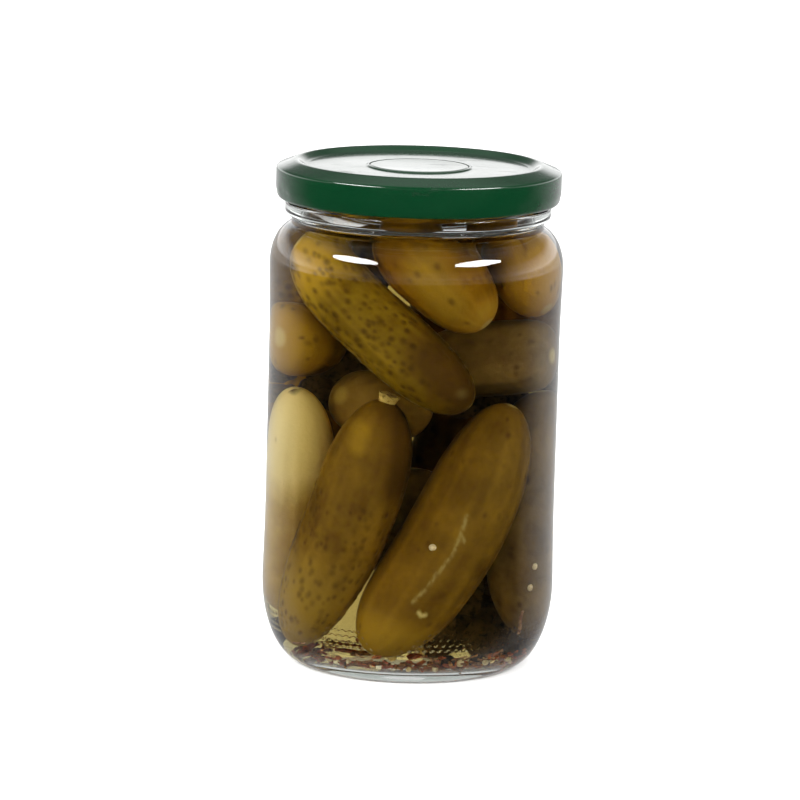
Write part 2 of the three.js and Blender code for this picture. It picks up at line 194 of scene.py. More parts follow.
class Finish:
    """A material with its Principled shader and short ways to add nodes to it."""

    def __init__(self, name, **values):
        self.material = bpy.data.materials.new(name)
        self.material.use_nodes = True
        self.tree = self.material.node_tree
        self.shader = self.tree.nodes["Principled BSDF"]
        for socket, value in values.items():
            self.shader.inputs[socket.replace("_", " ")].default_value = value

    def link(self, output, target):
        self.tree.links.new(output, target)

    def add(self, kind, settings=None, **inputs):
        made = self.tree.nodes.new(kind)
        for key, value in (settings or {}).items():
            setattr(made, key, value)
        for socket, value in inputs.items():
            target = made.inputs[socket.replace("_", " ")]
            if isinstance(value, bpy.types.NodeSocket):
                self.link(value, target)
            else:
                target.default_value = value
        return made

    def place(self, scale=(1, 1, 1)):
        coordinates = self.add("ShaderNodeTexCoord")
        mapping = self.add("ShaderNodeMapping", Vector=coordinates.outputs["Object"])
        mapping.inputs["Scale"].default_value = scale
        return mapping.outputs["Vector"]

    def noise(self, vector, scale, detail=3, roughness=0.5):
        made = self.add("ShaderNodeTexNoise", Vector=vector, Scale=scale, Detail=detail, Roughness=roughness)
        return made.outputs["Fac"]

    def spread(self, value, low, high, to_low=0.0, to_high=1.0):
        made = self.add(
            "ShaderNodeMapRange", Value=value, From_Min=low, From_Max=high, To_Min=to_low, To_Max=to_high
        )
        return made.outputs["Result"]

    def maths(self, operation, first, second=0.0):
        made = self.add("ShaderNodeMath", {"operation": operation})
        for target, value in zip(made.inputs, (first, second)):
            if isinstance(value, bpy.types.NodeSocket):
                self.link(value, target)
            else:
                target.default_value = value
        return made.outputs[0]

    def mix(self, share, first, second, blend="MIX"):
        made = self.add("ShaderNodeMix", {"data_type": "RGBA", "blend_type": blend})
        for target, value in zip((made.inputs[0], made.inputs[6], made.inputs[7]), (share, first, second)):
            if isinstance(value, bpy.types.NodeSocket):
                self.link(value, target)
            else:
                target.default_value = value
        return made.outputs[2]

    def bump(self, height, distance, strength=1.0):
        made = self.add("ShaderNodeBump", Height=height, Distance=distance, Strength=strength)
        self.link(made.outputs["Normal"], self.shader.inputs["Normal"])
        return made

    def colour(self, output):
        self.link(output, self.shader.inputs["Base Color"])

    def roughness(self, output):
        self.link(output, self.shader.inputs["Roughness"])

    def attribute(self, name):
        made = self.add("ShaderNodeAttribute", {"attribute_name": name})
        split = self.add("ShaderNodeSeparateColor", Color=made.outputs["Color"])
        return split.outputs[0], split.outputs[1], split.outputs[2]

    def depth(self, density, colour):
        """Tints what is seen through the solid, the more the thicker it is."""
        made = self.add("ShaderNodeVolumeAbsorption")
        made.inputs["Color"].default_value = colour
        made.inputs["Density"].default_value = density
        output = self.tree.nodes["Material Output"]
        self.link(made.outputs["Volume"], output.inputs["Volume"])


# ---------- glass ----------
STIPPLE_ROWS = 4
STIPPLE_LOW_Z = 10.5
STIPPLE_PITCH_Z = 1.7
STIPPLES_ROUND = 112


def jar_glass():
    """Clear glass with slow ripples, and rows of small raised dots on the heel."""
    made = Finish(
        "jar glass", Base_Color=(1, 1, 1, 1), Roughness=0.0, IOR=1.5, Transmission_Weight=1.0
    )
    place = made.place()
    ripple = made.noise(place, 55, detail=2)
    drawn = made.noise(made.place((1, 1, 0.12)), 140, detail=1)
    split = made.add("ShaderNodeSeparateXYZ", Vector=place)
    x, y, z = split.outputs
    turn = made.maths("MULTIPLY", made.maths("ARCTAN2", y, x), STIPPLES_ROUND / (2 * math.pi))
    row = made.maths("DIVIDE", made.maths("SUBTRACT", z, STIPPLE_LOW_Z * MM), STIPPLE_PITCH_Z * MM)
    shift = made.maths("MULTIPLY", made.maths("FLOOR", row), 0.5)
    across = made.maths("SUBTRACT", made.maths("FRACT", made.maths("ADD", turn, shift)), 0.5)
    up = made.maths("SUBTRACT", made.maths("FRACT", row), 0.5)
    far = made.maths("SQRT", made.maths("ADD", made.maths("POWER", across, 2), made.maths("POWER", up, 2)))
    dot = made.spread(far, 0.3, 0.14)
    above = made.maths("GREATER_THAN", row, 0)
    below = made.maths("LESS_THAN", row, STIPPLE_ROWS)
    dots = made.maths("MULTIPLY", dot, made.maths("MULTIPLY", above, below))
    height = made.maths("ADD", made.maths("MULTIPLY", ripple, 0.45), made.maths("MULTIPLY", drawn, 0.05))
    made.bump(made.maths("ADD", height, made.maths("MULTIPLY", dots, 0.3)), 0.18 * MM, 0.6)
    made.depth(9, (0.25, 0.6, 0.36, 1))
    return made.material


def brine_liquid():
    """Yellow-brown pickling liquor."""
    made = Finish(
        "pickling brine", Base_Color=(1, 1, 1, 1), Roughness=0.0, IOR=1.345, Transmission_Weight=1.0
    )
    made.depth(46, (0.78, 0.69, 0.32, 1))
    return made.material


# ---------- lid finishes ----------
def green_lacquer():
    """Dark green gloss lacquer with fine rubs, a little dust and slight waves."""
    made = Finish("green lacquer", Roughness=0.24, Specular_IOR_Level=0.5, Coat_Weight=0.5, Coat_Roughness=0.06)
    place = made.place()
    cloud = made.noise(place, 60, detail=4)
    speck = made.noise(place, 900, detail=2)
    rubs = made.noise(made.place((1, 14, 14)), 120, detail=5)
    tone = made.mix(cloud, paint(0, 34, 15), paint(1, 42, 19))
    tone = made.mix(made.spread(speck, 0.7, 0.8, 0, 0.1), tone, paint(50, 100, 68))
    tone = made.mix(made.spread(rubs, 0.72, 0.84, 0, 0.1), tone, paint(70, 116, 86))
    made.colour(tone)
    smudge = made.spread(made.noise(made.place((6, 14, 14)), 10, detail=6, roughness=0.7), 0.58, 0.7, 0, 0.22)
    made.roughness(made.maths("ADD", smudge, made.spread(made.maths("ADD", cloud, made.maths("MULTIPLY", rubs, 0.5)), 0.4, 1.2, 0.12, 0.26)))
    made.bump(made.maths("ADD", cloud, made.maths("MULTIPLY", speck, 0.015)), 0.06 * MM, 0.4)
    return made.material


def seal_compound():
    made = Finish("seal compound", Roughness=0.5)
    place = made.place()
    cloud = made.noise(place, 160, detail=3)
    made.colour(made.mix(cloud, paint(226, 220, 200), paint(240, 236, 222)))
    made.bump(cloud, 0.1 * MM, 0.4)
    return made.material


# ---------- gherkin skins ----------
def gherkin_skin(name, base, light, dark, pale, spot):
    """Wet pickled skin: mottled and streaked along its length, with darker warts, pale ends, scars, dark blotches and
    some painted shadow.
    """
    made = Finish(name, Specular_IOR_Level=0.02)
    place = made.place()
    cloud = made.noise(place, 70, detail=4, roughness=0.6)
    grain = made.noise(place, 420, detail=3, roughness=0.6)
    warts, streaks, paleness = made.attribute("skin")
    scar, blotch, golden = made.attribute("marks")
    tone = made.mix(made.spread(cloud, 0.35, 0.68), base, dark)
    tone = made.mix(made.spread(streaks, 0.45, 0.95, 0, 0.5), tone, light)
    tone = made.mix(made.spread(grain, 0.5, 0.75, 0, 0.35), tone, dark)
    tone = made.mix(paleness, tone, pale)
    tone = made.mix(golden, tone, paint(152, 118, 32))
    tone = made.mix(made.maths("MULTIPLY", warts, 0.62), tone, spot)
    tone = made.mix(scar, tone, paint(206, 186, 120))
    # dark brown from the middle channel of the marks attribute: dark skin blotches, and painted shadow where another
    # gherkin shades this one
    tone = made.mix(blotch, tone, paint(74, 50, 14))
    made.colour(tone)
    made.roughness(made.spread(grain, 0.3, 0.7, 0.26, 0.46))
    height = made.maths("ADD", made.maths("MULTIPLY", grain, 0.5), cloud)
    made.bump(height, 0.5 * MM, 0.8)
    return made.material


OLIVE = dict(
    base=paint(130, 102, 20), light=paint(164, 130, 36), dark=paint(92, 66, 8),
    pale=paint(180, 140, 34), spot=paint(46, 30, 6),
)
GOLDEN = dict(
    base=paint(124, 84, 4), light=paint(164, 116, 12), dark=paint(88, 58, 3),
    pale=paint(184, 140, 46), spot=paint(62, 38, 6),
)
BROWN = dict(
    base=paint(128, 96, 28), light=paint(152, 116, 38), dark=paint(92, 66, 18),
    pale=paint(152, 120, 46), spot=paint(58, 38, 10),
)
DARK = dict(
    base=paint(140, 116, 74), light=paint(160, 134, 88), dark=paint(104, 82, 50),
    pale=paint(184, 156, 100), spot=paint(60, 44, 26),
)
SHADED = dict(
    base=paint(168, 142, 86), light=paint(190, 162, 100), dark=paint(130, 106, 60),
    pale=paint(214, 184, 116), spot=paint(90, 62, 28),
)
PALE = dict(
    base=paint(206, 176, 98), light=paint(226, 200, 126), dark=paint(176, 144, 72),
    pale=paint(240, 218, 152), spot=paint(150, 106, 44),
)
SKINS = {
    "olive": gherkin_skin("olive gherkin skin", **OLIVE),
    "golden": gherkin_skin("golden gherkin skin", **GOLDEN),
    "brown": gherkin_skin("brown gherkin skin", **BROWN),
    "dark": gherkin_skin("dark gherkin skin", **DARK),
    "shaded": gherkin_skin("shaded gherkin skin", **SHADED),
    "pale": gherkin_skin("pale gherkin skin", **PALE),
}


def dry_spice(name, base, light, dark, scale=300, roughness=0.7):
    made = Finish(name, Roughness=roughness)
    place = made.place()
    cloud = made.noise(place, scale, detail=4)
    flecks = made.noise(place, scale * 3.3, detail=2)
    tone = made.mix(made.spread(cloud, 0.35, 0.7), base, light)
    made.colour(made.mix(made.spread(flecks, 0.5, 0.7), tone, dark))
    made.bump(cloud, 0.2 * MM, 0.6)
    return made.material


MUSTARD = dry_spice("mustard seed coat", paint(224, 198, 140), paint(240, 222, 176), paint(196, 160, 98), 500, 0.5)
PEPPER = dry_spice("peppercorn skin", paint(38, 26, 20), paint(66, 48, 36), paint(18, 12, 10), 700, 0.8)
CHILI = dry_spice("dried chili skin", paint(156, 72, 32), paint(186, 112, 56), paint(94, 42, 20), 420, 0.55)
STALK = dry_spice("dry stalk fibre", paint(128, 84, 46), paint(166, 122, 76), paint(84, 50, 26), 520, 0.8)

# ---------- glass jar ----------
BODY_R = 43.8
LABEL_PANEL_R = 43.4
HEEL_TOP_Z = 25
SHOULDER_Z = 120.5
FOOT_OUTER_R = 31.8
NECK_R = 37.6
SHOULDER_CENTRE_R = 35.8
SHOULDER_RISE = 12
BORE_R = 41.0
FLOOR_R = 29.0
FLOOR_Z = 4.2
INNER_SHOULDER_Z = 119.5
INNER_SHOULDER_CENTRE_R = 33.2
INNER_SHOULDER_RISE = 10.6
MOUTH_R = 35.2
BEAD_R = 39.6
FINISH_WALL_R = 38.3
FINISH_LOW_Z = 139.2
RIM_Z = 148.4
RIM_ROUND = 1.2
STARTS = 6
LEAD = 18
THREAD_R = 39.6
THREAD_Z = 142.15
THREAD_HALF_HEIGHT = 0.75
THREAD_SPAN = (-8, 34)
LUG_Z = 140.65
LUG_HALF_WIDTH = 7
FIRST_START = 20


def shoulder_end(neck_r, centre_r, reach_r):
    return math.degrees(math.acos((neck_r - centre_r) / reach_r))


def inner_wall(clearance=0.0):
    """The inside of the glass from the neck down to the middle of the floor, or a surface just outside it."""
    reach = BORE_R - INNER_SHOULDER_CENTRE_R + clearance
    end = shoulder_end(MOUTH_R + clearance, INNER_SHOULDER_CENTRE_R, reach)
    shoulder = arc(
        INNER_SHOULDER_CENTRE_R, INNER_SHOULDER_Z, reach, INNER_SHOULDER_RISE + clearance, end, 0, 16
    )
    heel = arc(
        FLOOR_R, HEEL_TOP_Z, BORE_R - FLOOR_R + clearance, HEEL_TOP_Z - FLOOR_Z + clearance, 0, -90, 22
    )
    floor = [(20, FLOOR_Z + 0.25 - clearance), (10, FLOOR_Z + 0.65 - clearance), (0, FLOOR_Z + 0.8 - clearance)]
    return shoulder + heel + floor


def glass_outline():
    reach = BODY_R - SHOULDER_CENTRE_R
    end = shoulder_end(NECK_R, SHOULDER_CENTRE_R, reach)
    foot = rounded([(0, 2.2), (20, 1.9), (26.5, 1.6), (29.5, 0), (FOOT_OUTER_R, 0)], 2.0)
    heel = arc(FOOT_OUTER_R, HEEL_TOP_Z, BODY_R - FOOT_OUTER_R, HEEL_TOP_Z, -90, 0, 26)[1:]
    body = rounded(
        [(BODY_R, HEEL_TOP_Z + 0.1), (LABEL_PANEL_R, 44), (LABEL_PANEL_R, 102), (BODY_R, 119), (BODY_R, 120.4)],
        14,
    )
    shoulder = arc(SHOULDER_CENTRE_R, SHOULDER_Z, reach, SHOULDER_RISE, 0, end, 16)
    neck = rounded(
        [
            shoulder[-1], (NECK_R, 134.0), (BEAD_R, 135.4), (BEAD_R, 138.6),
            (FINISH_WALL_R, FINISH_LOW_Z), (FINISH_WALL_R, 139.9),
        ],
        0.8,
    )[1:]
    wall = divided([(FINISH_WALL_R, 139.9), (FINISH_WALL_R, RIM_Z - RIM_ROUND)], 0.3)[1:]
    rim = arc(FINISH_WALL_R - RIM_ROUND, RIM_Z - RIM_ROUND, RIM_ROUND, RIM_ROUND, 0, 90, 6)[1:]
    lip = arc(MOUTH_R + RIM_ROUND, RIM_Z - RIM_ROUND, RIM_ROUND, RIM_ROUND, 90, 180, 6)
    return foot + heel + body + shoulder[1:] + neck + wall + rim + lip + inner_wall()


def raise_threads(piece):
    """Draws six short raised threads out of the neck finish, each along a sixth of the shared helix."""
    points = points_of(piece)
    r = np.hypot(points[:, 0], points[:, 1]) / MM
    z = points[:, 2] / MM
    angle = np.degrees(np.arctan2(points[:, 1], points[:, 0]))
    on_wall = (r > FINISH_WALL_R - 0.05) & (z > 139.9) & (z < RIM_Z - RIM_ROUND)
    lift = np.zeros(len(points))
    for i in range(STARTS):
        offset = (angle - FIRST_START - 360 / STARTS * i + 180) % 360 - 180
        inside = (offset > THREAD_SPAN[0] - 3) & (offset < THREAD_SPAN[1] + 3)
        ends = np.clip(np.minimum(offset - THREAD_SPAN[0] + 3, THREAD_SPAN[1] + 3 - offset) / 5, 0, 1)
        rise = (z - THREAD_Z - LEAD * offset / 360) / THREAD_HALF_HEIGHT
        section = np.clip(1.35 - np.abs(rise), 0, 1)
        section = section * section * (3 - 2 * section)
        lift = np.maximum(lift, np.where(inside & on_wall, section * ends, 0))
    grown = 1 + lift * (THREAD_R - FINISH_WALL_R) / r
    points[:, 0] *= grown
    points[:, 1] *= grown
    move_points(piece, points)


jar = turned("jar_glass_body", glass_outline(), 240)
raise_threads(jar)
smooth(jar, 50)
dress(jar, jar_glass(), "jar", "jar_glass", "glass_jar")

# ---------- brine ----------
BRINE_LEVEL_Z = 132.5
BRINE_WETTING = 0.12  # how far the liquid's skin lies in the glass, so that no air shows between them


def brine_outline():
    wall = [point for point in inner_wall(BRINE_WETTING)]
    meniscus = [
        (0, BRINE_LEVEL_Z), (30, BRINE_LEVEL_Z), (33.6, BRINE_LEVEL_Z + 0.15),
        (34.7, BRINE_LEVEL_Z + 0.6), (MOUTH_R + BRINE_WETTING, BRINE_LEVEL_Z + 1.3),
    ]
    return meniscus + wall


liquid = turned("brine_liquid", brine_outline(), 160)
smooth(liquid, 50)
dress(liquid, brine_liquid(), "jar", "brine", "brine")

# ---------- cap ----------
CAP_R = 42.5
CAP_LOW_Z = 139.7
SHEET = 0.5
BUTTON_R = 14.6


def cap_outline():
    curl = arc(40.9, 141.3, 1.25, 1.6, -150, -20, 10)
    outside = rounded(
        [
            curl[-1], (CAP_R, 142.9), (CAP_R, 148.95), (37.2, 151.1), (35.9, 151.1),
            (34.2, 149.75), (33.2, 149.5), (15.9, 149.5), (15.3, 149.9), (14.9, 149.9),
        ],
        0.7,
    )
    inside = rounded(
        [
            (14.9, 149.4), (15.7, 149.0), (33.4, 149.0), (35.7, 150.6), (37.1, 150.6),
            (CAP_R - SHEET, 148.5), (CAP_R - SHEET, 143.4), (41.3, 142.6), (40.2, 142.2),
        ],
        0.4,
    )
    loop = curl[:-1] + outside + inside
    return divided(loop + [loop[0]], 1.6)


def press_lugs(piece):
    """Pushes the rolled edge in at six places, which leaves a soft hollow in the skirt over each lug."""
    points = points_of(piece)
    r = np.hypot(points[:, 0], points[:, 1]) / MM
    z = points[:, 2] / MM
    angle = np.degrees(np.arctan2(points[:, 1], points[:, 0]))
    push = np.zeros(len(points))
    for i in range(STARTS):
        offset = (angle - FIRST_START - 360 / STARTS * i + 180) % 360 - 180
        across = np.clip(1.25 - np.abs(offset) / (LUG_HALF_WIDTH * 0.95), 0, 1)
        across = across * across * (3 - 2 * across)
        inner = np.clip((41.2 - r) / 0.9, 0, 1) * (z < 142.6)
        skirt = np.clip(1 - np.abs(z - 142.6) / 2.6, 0, 1) * (r >= 41.2)
        push = np.maximum(push, across * (inner * 1.15 + skirt * 0.28))
    shrunk = 1 - push / r
    points[:, 0] *= shrunk
    points[:, 1] *= shrunk
    move_points(piece, points)


GREEN = green_lacquer()
cap = turned("lid_shell_lacquered", cap_outline(), 240)
press_lugs(cap)
smooth(cap, 45)
dress(cap, GREEN, "lid", "lid_lacquer", "lid_shell")

button = turned(
    "safety_button",
    [(0, 149.76), (7, 149.78), (12.9, 149.87), (13.7, 149.9), (14.3, 149.9), (BUTTON_R, 149.75)]
    + [(BUTTON_R, 149.4), (13.4, 149.36), (7, 149.28), (0, 149.26)],
    120,
)
smooth(button, 40)
dress(button, GREEN, "button", "lid_lacquer", "vacuum_button")

seal = turned(
    "sealing_ring",
    rounded([(36.4, 148.7), (39.9, 148.7), (39.9, 148.95), (37.3, 150.0), (36.4, 150.0)], 0.2, closed=True)
    + [(36.6, 148.7)],
    160,
)
smooth(seal, 40)
dress(seal, seal_compound(), "lid_lift", "seal_compound", "lid_seal")

# ---------- gherkins ----------
FULLNESS = 3.2

# from and to are the tips and bend how far the middle leaves the line between them, in mm; pale_from and
# pale_to are how far the pale ends reach, as a share of the length
GHERKINS = [
    dict(name="leaning_over_front", skin="olive", r=10.4, start=(15, -26.5, 82.5), end=(-32.5, -13.5, 126),
         bend=(0, -6.9, 0), warts=460, height=0.36, pale_to=0.2, seed=1, fine=True),
    dict(name="top_front", skin="golden", r=10.8, start=(19.5, -26.5, 107.5), end=(-10, -18, 135),
         bend=(0, -3, 1), warts=34, height=0.12, pale_from=0.06, seed=2, fine=True),
    dict(name="top_right", skin="golden", r=10.2, start=(34, -8, 109.5), end=(16, 2, 134),
         bend=(1, 0, 0), warts=26, height=0.12, pale_from=0.5, seed=3),
    dict(name="across_right", skin="dark", r=11.5, start=(38.8, -10, 95.5), end=(1, 6, 91),
         bend=(0, 0, 1), warts=30, height=0.15, seed=4),
    dict(name="across_left", skin="olive", r=11.2, start=(-36.8, -10.8, 99), end=(-19, 6, 97),
         bend=(0, 0, 0), warts=30, height=0.15, pale_from=0.5, seed=5),
    dict(name="across_middle", skin="shaded", r=10.2, start=(-17, -6, 82.5), end=(3, 4, 76),
         bend=(0, 0, 0), warts=18, height=0.15, seed=6),
    dict(name="pale_left", skin="pale", r=11.4, start=(-23.5, 11.5, 14), end=(-29, -10, 84),
         bend=(-1, 0, 0), warts=7, height=0.1, pale_to=0.4, seed=7),
    dict(name="stemmed_front_left", skin="brown", r=11.8, start=(-30.3, -12, 8.5), end=(-6.4, -25, 84),
         bend=(2, -3.3, 0), warts=330, height=0.28, warts_until=0.62, pale_from=0.3, seed=8, fine=True),
    dict(name="large_front_right", skin="brown", r=13.2, start=(-9, -22.5, 8.5), end=(25.8, -16.8, 82.2),
         bend=(4, -0.2, -1), warts=46, height=0.12, pale_from=0.1, seed=9, fine=True),
    dict(name="right", skin="dark", r=11.5, start=(27.3, 7, 9.5), end=(27.8, 6.5, 83),
         bend=(0, 0, 0), warts=40, height=0.15, seed=10),
    dict(name="back_right", skin="brown", r=11.6, start=(13, 25.6, 9.5), end=(10, 26.6, 79),
         bend=(0, 0, 0), warts=150, height=0.28, seed=11),
    dict(name="back_left", skin="olive", r=11.6, start=(-11.5, 27, 24), end=(-16.5, 23, 86),
         bend=(0, 0, 0), warts=170, height=0.3, pale_to=0.15, seed=12),
    dict(name="middle", skin="dark", r=10.9, start=(1, 2.4, 24), end=(0, 4.2, 60),
         bend=(0, 0, 0), warts=40, height=0.2, seed=13),
    dict(name="top_back_left", skin="olive", r=10.8, start=(-20, 24, 90), end=(-12, 16, 136),
         bend=(0, 0, 0), warts=90, height=0.25, seed=14),
    dict(name="top_back_right", skin="golden", r=11, start=(10, 28.5, 83), end=(10, 21, 135),
         bend=(0, 0, 0), warts=120, height=0.22, seed=15),
]

# marks on the front of single gherkins: a kind, a path of (x, z) points and a radius, in mm; the dark marks are partly
# blotches on the skin and partly painted shadow
MARKS = {
    "leaning_over_front": [
        ("blotch", [(-35.5, 123.5), (-34.5, 121)], 1.6),
        # painted shadow: a broad dark band just under the lower edge of top_front, where that gherkin shades this one
        ("blotch", [(6, 98), (17, 85)], 9.5),
        ("scar", [(13.5, 87.5)], 1.6),
    ],
    "pale_left": [("blotch", [(-34, 86), (-31, 84), (-29, 85.5)], 1.5)],
    "top_front": [("golden", [(10, 113), (2, 122)], 6.0)],
    # the first mark darkens the right half of this gherkin's upper part, next to large_front_right
    "stemmed_front_left": [("blotch", [(-1, 80), (-1, 60)], 7.5), ("golden", [(-14, 76), (-15, 71)], 2.6)],
    "large_front_right": [
        ("healed", [(16, 51), (15.4, 48.6), (14.6, 45.8), (12.5, 39.6), (7.2, 32.4), (6.2, 30.4), (1.6, 25)], 0.6),
        ("healed", [(14.6, 45.8), (15.6, 43.4)], 0.5),
        ("scar", [(3.4, 22), (4.0, 21), (5.2, 21.2)], 0.6),
        ("golden", [(-10, 14), (2, 12)], 6.0),
    ],
}


def gherkin_spine(spec, share):
    """Points on the quadratic curve along a gherkin's middle."""
    start, end, bend = (np.array(spec[key], float) for key in ("start", "end", "bend"))
    pull = (start + end) / 2 + 2 * bend
    share = share[:, None]
    return start * (1 - share) ** 2 + pull * 2 * share * (1 - share) + end * share**2


def wave(points, offset):
    return np.array([noise.noise(Vector(point) + Vector((offset, 0, 0))) for point in points])


def near_path(points, path, radius):
    """How near each point is to a path: 1 on it, fading to 0 at radius."""
    path = [np.array(point, float) for point in path]
    nearest = np.linalg.norm(points - path[0], axis=1)
    for a, b in zip(path, path[1:]):
        line = b - a
        along = np.clip((points - a) @ line / (line @ line), 0, 1)
        nearest = np.minimum(nearest, np.linalg.norm(points - a - along[:, None] * line, axis=1))
    return np.clip(1.4 - nearest / radius, 0, 1)


def gherkin(spec):
    """A ball drawn out along the spine, with lobes, waves and warts raised from it."""
    sides, rings = (150, 180) if spec.get("fine") else (96, 120)
    dice = random.Random(spec["seed"])
    bpy.ops.object.select_all(action="DESELECT")
    bpy.ops.mesh.primitive_uv_sphere_add(segments=sides, ring_count=rings, radius=1)
    piece = bpy.context.object
    piece.name = f"gherkin_{spec['name']}_skin"
    ball = points_of(piece)
    share = (1 + ball[:, 2]) / 2
    turn = np.arctan2(ball[:, 1], ball[:, 0])
    start, end = (np.array(spec[key], float) for key in ("start", "end"))
    along = (end - start) / np.linalg.norm(end - start)
    side = np.cross((0, 0, 1), along)
    side /= np.linalg.norm(side)
    up = np.cross(along, side)
    length = np.linalg.norm(end - start)
    r = spec["r"]
    closing = np.sqrt(np.clip(1 - np.abs(2 * share - 1) ** FULLNESS, 0, 1))
    lobes = 0.025 * np.cos(3 * turn + dice.uniform(0, 6)) * np.sin(math.pi * share)
    low = wave(np.column_stack((np.cos(turn) * 0.9, np.sin(turn) * 0.9, share * length / 22)), spec["seed"] * 7)
    ridges = wave(np.column_stack((np.cos(turn) * 4, np.sin(turn) * 4, share * length / 45)), spec["seed"] * 11)
    warts = np.zeros(len(ball))
    bumps = np.zeros(len(ball))
    until = spec.get("warts_until", 0.96)
    for _ in range(spec["warts"]):
        at = dice.uniform(0.05, until)
        round_at = dice.uniform(-math.pi, math.pi)
        size = dice.uniform(0.55, 1.0)
        strength = dice.uniform(0.45, 1.0)
        across = np.abs((turn - round_at + math.pi) % (2 * math.pi) - math.pi) * r * np.maximum(closing, 0.25)
        far = np.hypot((share - at) * length / 1.25, across) / size
        warts = np.maximum(warts, strength * np.clip(1.35 - far, 0, 1))
        bumps = np.maximum(bumps, strength * np.exp(-far * far * 1.3))
    radius = r * closing * (1 + lobes + 0.035 * low + 0.012 * ridges) + spec["height"] * bumps * closing
    points = gherkin_spine(spec, share)
    points += side * (radius * np.cos(turn))[:, None] + up * (radius * np.sin(turn))[:, None]
    move_points(piece, points * MM)

    inward = np.clip(np.minimum(share, 1 - share) * length / 14, 0, 1)
    streaks = 0.5 + (0.6 * ridges + 0.35 * low) * inward
    pale = np.zeros(len(ball))
    edge = 0.06 * low + 0.03 * ridges
    if "pale_from" in spec:
        pale = np.maximum(pale, np.clip((spec["pale_from"] + edge - share) / 0.16 + 0.5, 0, 1))
    if "pale_to" in spec:
        pale = np.maximum(pale, np.clip((share - 1 + spec["pale_to"] + edge) / 0.16 + 0.5, 0, 1))
    tip = np.clip(1.2 - np.minimum(share, 1 - share) * length / 0.35, 0, 1)
    marks = {"scar": 0.7 * tip, "healed": np.zeros(len(ball)), "blotch": np.zeros(len(ball)), "golden": np.zeros(len(ball))}
    for kind, path, size in MARKS.get(spec["name"], []):
        facing = points[:, 1] < gherkin_spine(spec, share)[:, 1]
        marks[kind] = np.maximum(marks[kind], near_path(points[:, [0, 2]], path, size) * facing)
    fill_attribute(piece, "skin", warts, streaks, pale * 0.9)
    torn = 0.34 * np.clip(0.75 + 1.3 * wave(points * 0.9, 3), 0, 1)
    marks["scar"] = np.maximum(marks["scar"] * 0.85, marks["healed"] * torn)
    fill_attribute(piece, "marks", marks["scar"], marks["blotch"] * 0.9, marks["golden"] * 0.7)

    into_edit(piece)
    bpy.ops.mesh.select_all(action="SELECT")
    bpy.ops.mesh.remove_doubles(threshold=1e-7)
    bpy.ops.mesh.normals_make_consistent(inside=False)
    out_of_edit()
    smooth(piece, 80)
    return piece


def fill_attribute(piece, name, red, green, blue):
    layer = piece.data.color_attributes.new(name=name, type="FLOAT_COLOR", domain="POINT")
    flat = np.column_stack((red, green, blue, np.ones(len(red))))
    layer.data.foreach_set("color", np.clip(flat, 0, 1).ravel())


SLOT_OF = {}
for row in frame["record"]["subparts"]:
    SLOT_OF[row["node"]] = row["material_slot"]

for spec in GHERKINS:
    node = f"gherkin_{spec['name']}"
    dress(gherkin(spec), SKINS[spec["skin"]], "jar", SLOT_OF[node], node)


def stem_stub(base, direction):
    """The broken stalk on one gherkin: a short flared stub with a ragged rim."""
    bpy.ops.object.select_all(action="DESELECT")
    bpy.ops.mesh.primitive_cylinder_add(vertices=20, radius=2.4 * MM, depth=2.2 * MM)
    piece = bpy.context.object
    piece.name = "gherkin_stem_stub"
    into_edit(piece)
    bpy.ops.mesh.select_all(action="DESELECT")
    out_of_edit()
    for face in piece.data.polygons:
        face.select = face.normal.z > 0.9
    into_edit(piece)
    for widen in (1.12, 1.2, 0.8, 0.5):
        lift = 0.9 * MM if widen > 1 else -0.25 * MM
        bpy.ops.mesh.extrude_region_move(TRANSFORM_OT_translate={"value": (0, 0, lift)})
        bpy.ops.transform.resize(value=(widen, widen, 1))
    out_of_edit()
    bevel = piece.modifiers.new("round", "SUBSURF")
    bevel.levels = bevel.render_levels = 2
    select_only(piece)
    bpy.ops.object.modifier_apply(modifier="round")
    points = points_of(piece)
    points *= (1 + 0.2 * wave(points / MM * 0.7, 3))[:, None]
    move_points(piece, points)
    piece.matrix_world = Matrix.Translation(base) @ direction.to_track_quat("Z", "Y").to_matrix().to_4x4()
    settle(piece)
    smooth(piece, 60)
    return piece


stub = stem_stub(Vector((-6.8, -24.9, 83.2)) * MM, Vector((23.7, -6.0, 74)).normalized())
dress(stub, dry_spice("stem stub", paint(190, 164, 92), paint(214, 192, 126), paint(140, 112, 56), 300, 0.5), "jar", "gherkin_brown")

# ---------- spices ----------
MUSTARD_SEEDS = [
    (6.9, -38.9, 42.5), (35.8, -17.2, 33), (34.6, -19.2, 27), (-20.8, -24.6, 6.8),
    (22, -23.5, 6.9), (15.2, -27.9, 7.0), (27.5, -16, 6.7), (3, 9, 6.2),
    (-3, -6, 6.2), (-14, 21, 5.9), (-33.4, 20.5, 40), (4, 38.9, 60),
]
PEPPERCORNS = [(11.5, -26.5, 7.2), (18.5, -19, 7), (-5, 14, 7.3), (-18.5, 27.2, 9.4)]
CHILI_FLAKES = [
    (23.2, -18, 5.5, 20), (9.5, -20, 5.3, 75), (27.2, -10.2, 5.7, 130),
    (2.5, 3, 5.7, 45), (-11.5, 13, 5.6, 160), (-2, 20.5, 5.4, 100),
]
DRY_STALKS = [
    ((14.2, -13.5, 5.6), (21.5, -8.5, 5.6)),
    ((5.5, -13.5, 5.7), (12, -7.5, 5.7)),
    ((32.6, -21.8, 20.5), (31.4, -20.8, 14)),
    ((-11.5, 3.5, 5.8), (-6.5, 9.5, 5.8)),
]


